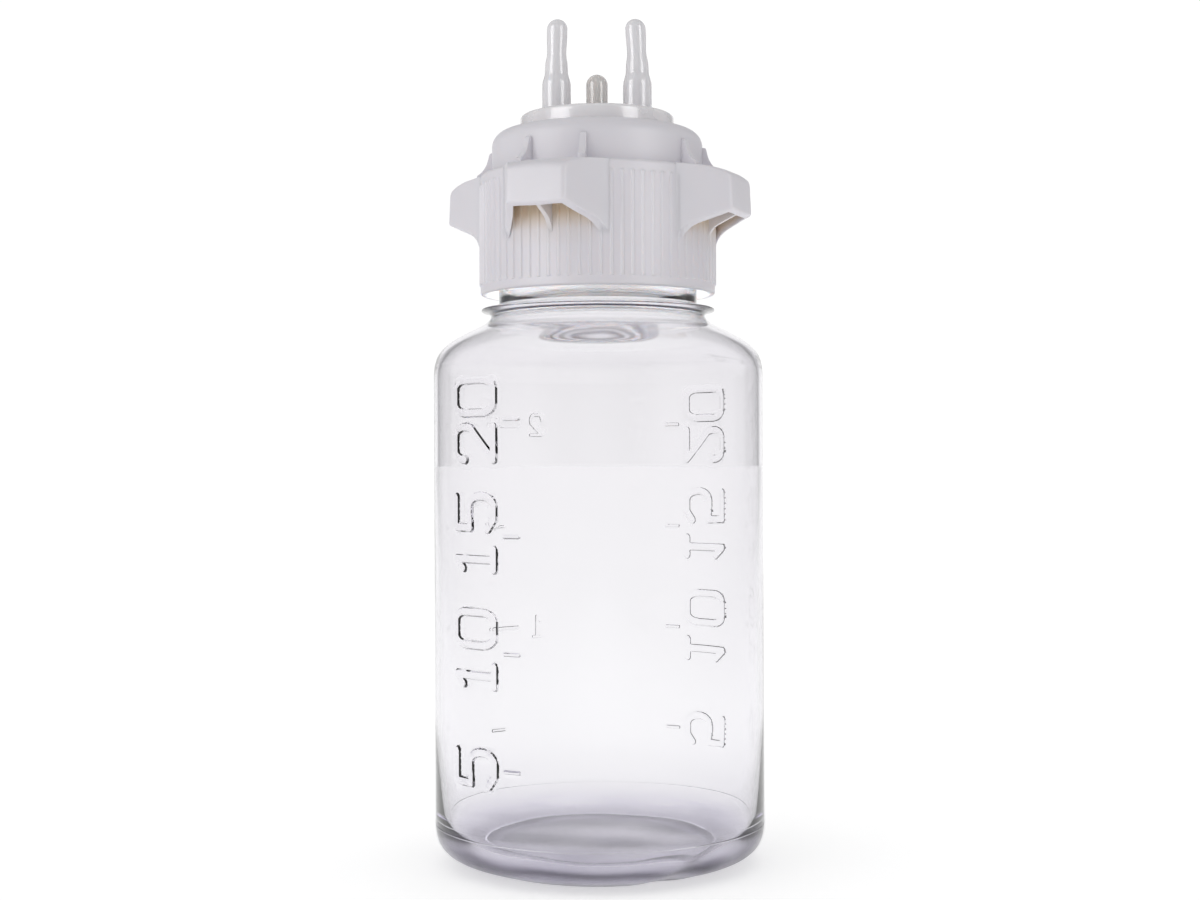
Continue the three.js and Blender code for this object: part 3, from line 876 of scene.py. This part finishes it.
def make_ring(material):
    """The screw ring with lugs, webs and fins, marked for its material where it is hollow or inside:
    painted shade in the hollows, painted light on the inside.
    """
    angles = rib_angles()

    def shape(radii, height, turn):
        return ring_thread(rib_shape(radii, height, turn), height, turn)

    parts = [revolve(ring_profile(), angles, close=True, shape=shape)]
    # The skirt under a lug counts as part of its hollow and takes the same painted shade, strongest towards
    # the top.
    x, y, height = np.array(parts[0][0]).T
    away = np.mod(np.arctan2(y, x) - LUG_TURN + math.pi / 4, math.pi / 2) - math.pi / 4
    painted_shade_under_lug = smoothstep((math.radians(LUG_ROOT_INSIDE) - np.abs(away)) / math.radians(3))
    outside = np.hypot(x, y) > SKIRT_RADIUS - 0.5
    depth = [outside * painted_shade_under_lug * smoothstep((height - 237.0) / 7.0)]
    lug_vertices, lug_faces, lug_painted_shade = lug_mesh()
    repeated = [(lug_vertices, lug_faces, lug_painted_shade)]
    # The web takes a little of the painted shade, the fins none.
    for (vertices, faces), hollow in ((web_mesh(), 0.2), (fin_mesh(-1), 0.0), (fin_mesh(1), 0.0)):
        repeated.append((vertices, faces, [hollow] * len(vertices)))
    for turn in even_angles(4, LUG_TURN):
        for vertices, faces, hollow in repeated:
            x, y, z = full_turn(*np.array(vertices).T, turn)
            parts.append((np.column_stack([x, y, z]), faces))
            depth.append(np.array(hollow))
    vertices, faces = join_parts(parts)
    obj = mesh_object("screw_ring", vertices, faces, [material], sharp=40)
    face_outward(obj)
    # Painted shade: how deep in a hollow each vertex lies.
    attribute = obj.data.attributes.new("hollow", "FLOAT", "POINT")
    attribute.data.foreach_set("value", np.concatenate(depth).astype(np.float32))
    # Painted light: the inside of the skirt and crown, which the material colours lighter.
    x, y, height = np.array(vertices).T
    bore = (np.hypot(x, y) < SKIRT_BORE + 0.6) & (height < 262.5)
    attribute = obj.data.attributes.new("inside", "FLOAT", "POINT")
    attribute.data.foreach_set("value", bore.astype(np.float32))
    return obj


# ---- port plate, gasket and caps ----

def hose_profile(inset, bottom, top):
    """Outer profile of a hose cap or stem, drawn in by inset: a foot, a middle and a rounded tip."""
    foot, middle, waist, tip = (radius - inset for radius in (5.6, 4.5, 3.75, 4.0))
    return (
        line((foot, bottom), (foot, 298.6), 4)
        + bezier([(foot, 299.4), (foot, 301.2), (middle + 0.1, 303.0), (middle + 0.02, 304.6)], 9)
        + bezier([(middle, 305.0), (middle - 0.05, 306.4), (middle - 0.12, 307.6)], 3)
        + bezier([(middle - 0.16, 308.0), (middle - 0.35, 309.6), (waist + 0.05, 310.6), (waist, 312.2)], 8)
        + bezier([(waist, 313), (waist + 0.02, 315), (tip, 316.4), (tip, top - tip - 0.4)], 7)
        + arc(0, top - tip, tip, 4, 90, 10)
    )


def lean_in(vertices, side, centre):
    """Stands a stem or its cap at centre, with the top a little towards the middle of the plate."""
    moved = np.array(vertices, float)
    rise = np.clip((moved[:, 2] - 308) / 16, 0, 1)
    moved[:, 0] += centre - side * (0.6 + 0.15 * side) * rise
    return moved


def make_hose_cap(name, side, material):
    """A closed soft sleeve over a hose stem."""
    inside = hose_profile(1.2, HOSE_LOW.z, HOSE_HIGH.z - 1.2)
    outside = hose_profile(0.0, HOSE_LOW.z, HOSE_HIGH.z)
    profile = inside[:-1] + [(0, HOSE_HIGH.z - 1.2)]
    profile = profile[::-1] + outside[:-1] + [(0, HOSE_HIGH.z)]
    vertices, faces = revolve(profile, even_angles(56))
    centre = side * (HOSE_LOW.x + HOSE_HIGH.x) / 2
    obj = mesh_object(name, lean_in(vertices, side, centre), faces, [material])
    face_outward(obj)
    return obj


def make_vent_cap(material):
    """The short closed stub over the vent."""
    radius, wall = VENT_HIGH.x, 1.3
    bottom, top = VENT_LOW.z, VENT_HIGH.z
    inside = [(radius - wall, bottom)] + arc(0, top - radius, radius - wall, 0, 90, 10)
    outside = line((radius, bottom), (radius, bottom + 8), 2) + arc(0, top - radius, radius, 0, 90, 14)
    profile = inside[:-1] + [(0, inside[-1][1])]
    profile = profile[::-1] + outside[:-1] + [(0, top)]
    vertices, faces = revolve(profile, even_angles(64))
    obj = mesh_object("vent_tip", vertices, faces, [material])
    face_outward(obj)
    return obj


def tube_mesh(profile, bore, low):
    """A stem with a hole through it."""
    top = profile[-1][1]
    inside = [(bore, top), (bore, low)]
    trimmed = [p for p in profile if p[0] > bore + 0.3]
    return revolve(trimmed + inside, even_angles(40), close=True)


def make_plate(material):
    """The captive disc with its raised boss, two hose stems and a vent stem."""
    flange = PLATE_HIGH.x
    bottom = PLATE_LOW.z
    wall = 2.5
    inner, ceiling = BOSS_RADIUS - wall, BOSS_TOP - wall
    disc = (
        [(0, ceiling), (12, ceiling), (inner - 0.6, ceiling), (inner, ceiling - 0.6)]
        + [(inner, bottom + 0.3), (inner + 0.3, bottom)]
        + [(flange - 0.3, bottom), (flange, bottom + 0.3), (flange, bottom + 0.7)]
        + [(flange - 1.9, bottom + 2.7)]
        + [(BOSS_RADIUS + 0.4, bottom + 2.7), (BOSS_RADIUS, bottom + 3.1)]
        + [(BOSS_RADIUS, bottom + 6), (BOSS_RADIUS, BOSS_TOP - 2.4)]
        + arc(BOSS_RADIUS - 1.5, BOSS_TOP - 1.5, 1.5, 0, 90, 8)[1:]
        + [(24, BOSS_TOP), (12, BOSS_TOP), (0, BOSS_TOP)]
    )
    parts = [revolve(disc, even_angles(200))]
    centre = (HOSE_LOW.x + HOSE_HIGH.x) / 2
    for side in (-1, 1):
        stem, faces = tube_mesh(hose_profile(1.5, BOSS_TOP - 1, PLATE_HIGH.z + 1), 1.3, BOSS_TOP - 1)
        parts.append((lean_in(stem, side, side * centre), faces))
    vent = [(2.6, BOSS_TOP - 1), (2.6, 296.5)] + arc(1.6, 296.9, 1.0, 0, 90, 4)
    parts.append(tube_mesh(vent, 1.2, BOSS_TOP - 1))
    vertices, faces = join_parts(parts)
    obj = mesh_object("port_disc", vertices, faces, [material])
    face_outward(obj)
    return obj


def make_gasket(material):
    """The flat ring between the plate's flange and the bottle's lip."""
    outer, inner = GASKET_HIGH.x, 33.6
    low, high = GASKET_LOW.z, GASKET_HIGH.z
    profile = (
        arc(outer - 0.5, low + 0.5, 0.5, -90, 0, 4) + arc(outer - 0.5, high - 0.5, 0.5, 0, 90, 4)
        + arc(inner + 0.5, high - 0.5, 0.5, 90, 180, 4) + arc(inner + 0.5, low + 0.5, 0.5, 180, 270, 4)
    )
    vertices, faces = revolve(profile, even_angles(128), close=True)
    obj = mesh_object("mouth_seal", vertices, faces, [material])
    face_outward(obj)
    return obj


# ---- studio ----

def make_camera():
    """Level with the middle of the bottle, straight on to the port plate's line of stems."""
    data = bpy.data.cameras.new("camera")
    data.lens, data.sensor_width = 54, 36
    data.shift_x, data.shift_y = 0.0012, 0.01
    camera = bpy.data.objects.new("camera", data)
    camera.location = (0, -0.6975, 0.1538)
    camera.rotation_euler = (math.radians(90), math.radians(0.25), 0)
    bpy.context.scene.collection.objects.link(camera)
    bpy.context.scene.camera = camera


def add_softbox(name, azimuth, height, distance, size, power):
    """A rectangular light that faces the object. Azimuth is to the right of the camera's side."""
    data = bpy.data.lights.new(name, "AREA")
    data.shape = "RECTANGLE"
    data.size, data.size_y = size
    data.energy = power
    light = bpy.data.objects.new(name, data)
    turn = math.radians(azimuth)
    light.location = (distance * math.sin(turn), -distance * math.cos(turn), height)
    aim = Vector((0, 0, 0.16)) - light.location
    light.rotation_euler = aim.to_track_quat("-Z", "Y").to_euler()
    light.visible_camera = False
    light.visible_glossy = False
    light.visible_transmission = False
    bpy.context.scene.collection.objects.link(light)
    return light


def make_world():
    """A pale tent round the object: a bright wall behind with a darker rim, and dimmer in front."""
    world = bpy.data.worlds.new("studio")
    bpy.context.scene.world = world
    world.use_nodes = True
    tree = world.node_tree
    split = tree.nodes.new("ShaderNodeSeparateXYZ")
    tree.links.new(tree.nodes.new("ShaderNodeTexCoord").outputs["Generated"], split.inputs["Vector"])
    tent = fade(tree, split.outputs["Z"], 0.3, 0.95, TENT_LIGHT, TENT_ROOF)
    front = fade(tree, split.outputs["Y"], -0.95, -0.6, TENT_FRONT - TENT_LIGHT, 0.0)
    rim = fade(tree, split.outputs["Y"], 0.5, 0.62, 0.0, BACKDROP_RIM - TENT_LIGHT)
    wall = fade(tree, split.outputs["Y"], 0.84, 0.915, 0.0, BACKDROP_LIGHT - BACKDROP_RIM)
    across = combine(tree, "MULTIPLY", split.outputs["X"], 0.8)
    ahead = combine(tree, "MULTIPLY", split.outputs["Y"], -0.6)
    right = fade(tree, combine(tree, "ADD", across, ahead), 0.45, 0.9, 0.0, -TENT_RIGHT)
    horizon = fade(tree, split.outputs["Z"], 0.0, 0.09, HORIZON_LIGHT, 0.0)
    around = combine(tree, "ADD", combine(tree, "ADD", front, right), horizon)
    total = combine(tree, "ADD", combine(tree, "ADD", tent, around), combine(tree, "ADD", rim, wall))
    tree.links.new(total, tree.nodes["Background"].inputs["Color"])


def make_floor():
    """A pale floor that glows softly, most along the strip that runs back to the lit wall."""
    n = Nodes("pale_floor")
    cloud = n.noise(3)
    pale = n.ramp(cloud, [(0.3, (0.90, 0.90, 0.90)), (0.7, (0.92, 0.92, 0.92))])
    n.join(pale, n.shader.inputs["Base Color"])
    n.set(Roughness=0.9, Emission_Color=(1, 1, 1, 1))
    split = n.add("ShaderNodeSeparateXYZ")
    n.join(n.add("ShaderNodeNewGeometry").outputs["Position"], split.inputs["Vector"])
    aside = combine(n.tree, "MULTIPLY", combine(n.tree, "ABSOLUTE", split.outputs["X"], 0.0), -2.5)
    strip = combine(n.tree, "ADD", split.outputs["Y"], aside)
    glow = fade(n.tree, strip, -2.6, -0.2, 0.45 * FLOOR_GLOW, FLOOR_GLOW)
    n.join(glow, n.shader.inputs["Emission Strength"])
    reach = 60000
    corners = [(-reach, -reach, 0), (reach, -reach, 0), (reach, reach, 0), (-reach, reach, 0)]
    mesh_object("floor", corners, [(0, 1, 2, 3)], [n.material])


def light_lid(lid_pieces):
    """Two tall softboxes that only show as streaks in the lid's gloss, and a small lamp inside it."""
    group = bpy.data.collections.new("lid_pieces")
    for piece in lid_pieces:
        group.objects.link(piece)
    for name, azimuth, width in (("streak_left", -56, 0.55), ("streak_right", 50, 0.42)):
        light = add_softbox(name, azimuth, 0.42, 1.0, (width, 1.0), LID_GLEAM * math.pi * width)
        light.visible_glossy = True
        light.visible_diffuse = False
        light.light_linking.receiver_collection = group
    # The white plastic lets light into the lid. A small lamp in the neck stands for it.
    data = bpy.data.lights.new("lid_fill", "POINT")
    data.energy, data.shadow_soft_size = LID_FILL, 0.02
    lamp = bpy.data.objects.new("lid_fill", data)
    lamp.location = (0, 0, 0.2)
    lamp.visible_camera = lamp.visible_glossy = lamp.visible_transmission = False
    lamp.light_linking.receiver_collection = group
    lamp.light_linking.blocker_collection = group
    bpy.context.scene.collection.objects.link(lamp)


def make_studio():
    """Tent, floor and softboxes."""
    scene = bpy.context.scene
    scene.view_settings.view_transform = "Standard"
    scene.cycles.max_bounces = LIGHT_BOUNCES
    scene.cycles.transmission_bounces = LIGHT_BOUNCES
    make_world()
    make_floor()
    add_softbox("softbox_left", -50, 0.45, 1.2, (0.6, 0.8), LIGHT_LEFT)
    add_softbox("softbox_right", 50, 0.45, 1.2, (0.6, 0.8), LIGHT_RIGHT)


# ---- the object ----

make_camera()
make_studio()

clear = clear_bottle_material()
white = moulded_white_material()
natural = translucent_material("natural_plate", (0.93, 0.90, 0.935), (0.96, 0.93, 0.965), 0.1, 0.26)
soft = translucent_material("soft_cap", (0.96, 0.93, 0.97), (0.99, 0.96, 0.995), 0.08, 0.24)
vent = amber_material()
seal = translucent_material("silicone_seal", (0.72, 0.70, 0.66), (0.78, 0.76, 0.72), 0.0, 0.5)

pieces = [
    (make_bottle(clear), "bottle", "clear_body", "bottle"),
    (make_ring(white), "screw_cap", "white_ring", "screw_cap"),
    (make_plate(natural), "lid", "natural_plate", "port_plate"),
    (make_gasket(seal), "lid", "seal", "mouth_gasket"),
    (make_hose_cap("hose_tip_left", -1, soft), "hose_cap_left", "soft_cap", "hose_cap_left"),
    (make_hose_cap("hose_tip_right", 1, soft), "hose_cap_right", "soft_cap", "hose_cap_right"),
    (make_vent_cap(vent), "vent_cap", "vent_cap", "vent_cap"),
]
light_lid([piece for piece, body, slot, node in pieces if body != "bottle"])
for piece, body, slot, node in pieces:
    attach(piece, body)
    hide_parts(node)
